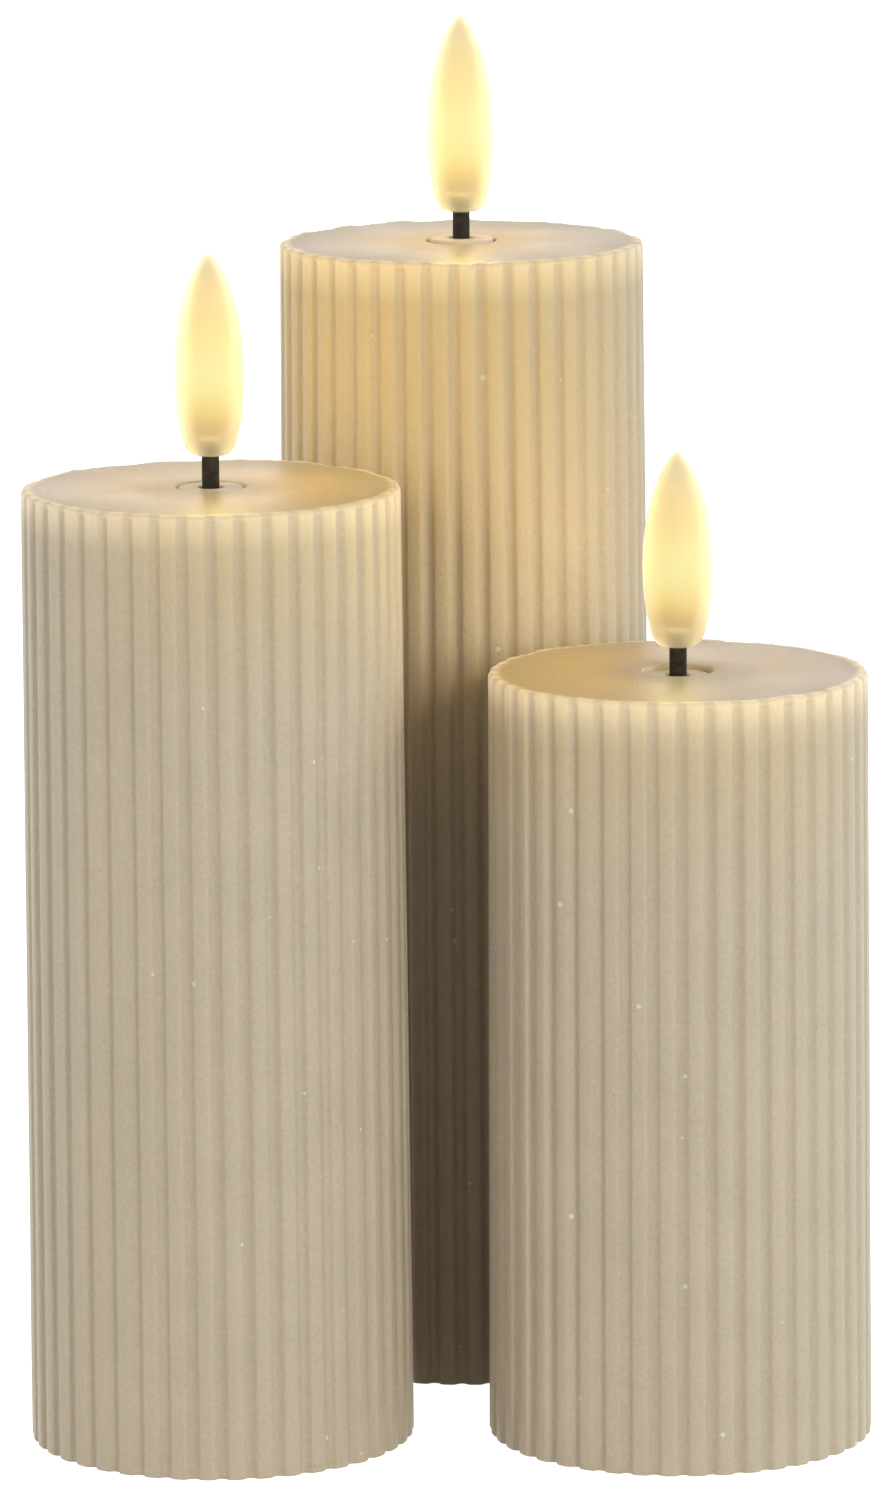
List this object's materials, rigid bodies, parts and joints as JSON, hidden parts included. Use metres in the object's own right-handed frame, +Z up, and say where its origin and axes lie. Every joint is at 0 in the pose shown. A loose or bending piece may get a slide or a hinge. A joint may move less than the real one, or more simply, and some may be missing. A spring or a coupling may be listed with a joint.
{
  "type": "flameless led candle set",
  "caption": "Set of fluted wax pillar candles in falling heights, each with a lit frosted flame bulb on a short black wick and a battery base with a slide switch and hinged cover.",
  "frame": {"origin": "on the table, at the middle of the set", "axes": "+Z up, -Y towards the front of the set, +X to its right"},
  "size_m": [0.1114, 0.0984, 0.1833],
  "materials": {
    "wax": "matte, slightly translucent sand-coloured wax",
    "core_plastic": "milky moulded plastic",
    "wick": "matte black",
    "collar": "pale cream, matte",
    "bulb": "frosted, lit warm white",
    "lamp": "clear warm resin, lit",
    "lead": "red sheath",
    "board": "green solder mask",
    "chip": "black moulded resin",
    "knob": "black",
    "base_plastic": "ivory moulded plastic",
    "contact_metal": "nickel-plated spring steel",
    "cell": "plain printed jacket, no lettering",
    "screw": "zinc-plated"
  },
  "bodies": {
    "tall_candle": {"tall_wax_pillar": "wax", "tall_inner_core": "core_plastic", "tall_wick_sleeve": "wick", "tall_wick_collar": "collar", "tall_flame_bulb": "bulb", "tall_led_lamp": "lamp", "tall_lead_cable": "lead", "tall_circuit_board": "board", "tall_timer_chip": "chip", "tall_switch_body": "chip", "tall_base_housing": "base_plastic", "tall_spring_contact": "contact_metal", "tall_plate_contact": "contact_metal", "tall_battery_left": "cell", "tall_battery_right": "cell", "tall_base_screw_left": "screw", "tall_base_screw_right": "screw"},
    "medium_candle": {"medium_wax_pillar": "wax", "medium_inner_core": "core_plastic", "medium_wick_sleeve": "wick", "medium_wick_collar": "collar", "medium_flame_bulb": "bulb", "medium_led_lamp": "lamp", "medium_lead_cable": "lead", "medium_circuit_board": "board", "medium_timer_chip": "chip", "medium_switch_body": "chip", "medium_base_housing": "base_plastic", "medium_spring_contact": "contact_metal", "medium_plate_contact": "contact_metal", "medium_battery_left": "cell", "medium_battery_right": "cell", "medium_base_screw_left": "screw", "medium_base_screw_right": "screw"},
    "short_candle": {"short_wax_pillar": "wax", "short_inner_core": "core_plastic", "short_wick_sleeve": "wick", "short_wick_collar": "collar", "short_flame_bulb": "bulb", "short_led_lamp": "lamp", "short_lead_cable": "lead", "short_circuit_board": "board", "short_timer_chip": "chip", "short_switch_body": "chip", "short_base_housing": "base_plastic", "short_spring_contact": "contact_metal", "short_plate_contact": "contact_metal", "short_battery_left": "cell", "short_battery_right": "cell", "short_base_screw_left": "screw", "short_base_screw_right": "screw"},
    "tall_switch": {"tall_switch_knob": "knob"},
    "tall_cover": {"tall_battery_cover": "base_plastic", "tall_bridge_contact": "contact_metal"},
    "medium_switch": {"medium_switch_knob": "knob"},
    "medium_cover": {"medium_battery_cover": "base_plastic", "medium_bridge_contact": "contact_metal"},
    "short_switch": {"short_switch_knob": "knob"},
    "short_cover": {"short_battery_cover": "base_plastic", "short_bridge_contact": "contact_metal"}
  },
  "joints": [
    {"name": "medium_lift", "type": "slide", "parent": "tall_candle", "child": "medium_candle", "axis": [0, 0, 1], "range_m": [0, 0.2]},
    {"name": "short_lift", "type": "slide", "parent": "tall_candle", "child": "short_candle", "axis": [0, 0, 1], "range_m": [0, 0.2]},
    {"name": "tall_switch_slide", "type": "slide", "parent": "tall_candle", "child": "tall_switch", "axis": [1, 0, 0], "range_m": [-0.002, 0.002]},
    {"name": "tall_cover_hinge", "type": "hinge", "parent": "tall_candle", "child": "tall_cover", "pos_m": [0.0026, 0.0122, 0.002], "axis": [-1, 0, 0], "range_deg": [0, 95]},
    {"name": "medium_switch_slide", "type": "slide", "parent": "medium_candle", "child": "medium_switch", "axis": [1, 0, 0], "range_m": [-0.002, 0.002]},
    {"name": "medium_cover_hinge", "type": "hinge", "parent": "medium_candle", "child": "medium_cover", "pos_m": [-0.03035, -0.0354, 0.002], "axis": [-1, 0, 0], "range_deg": [0, 95]},
    {"name": "short_switch_slide", "type": "slide", "parent": "short_candle", "child": "short_switch", "axis": [1, 0, 0], "range_m": [-0.002, 0.002]},
    {"name": "short_cover_hinge", "type": "hinge", "parent": "short_candle", "child": "short_cover", "pos_m": [0.03035, -0.0354, 0.002], "axis": [-1, 0, 0], "range_deg": [0, 95]}
  ]
}
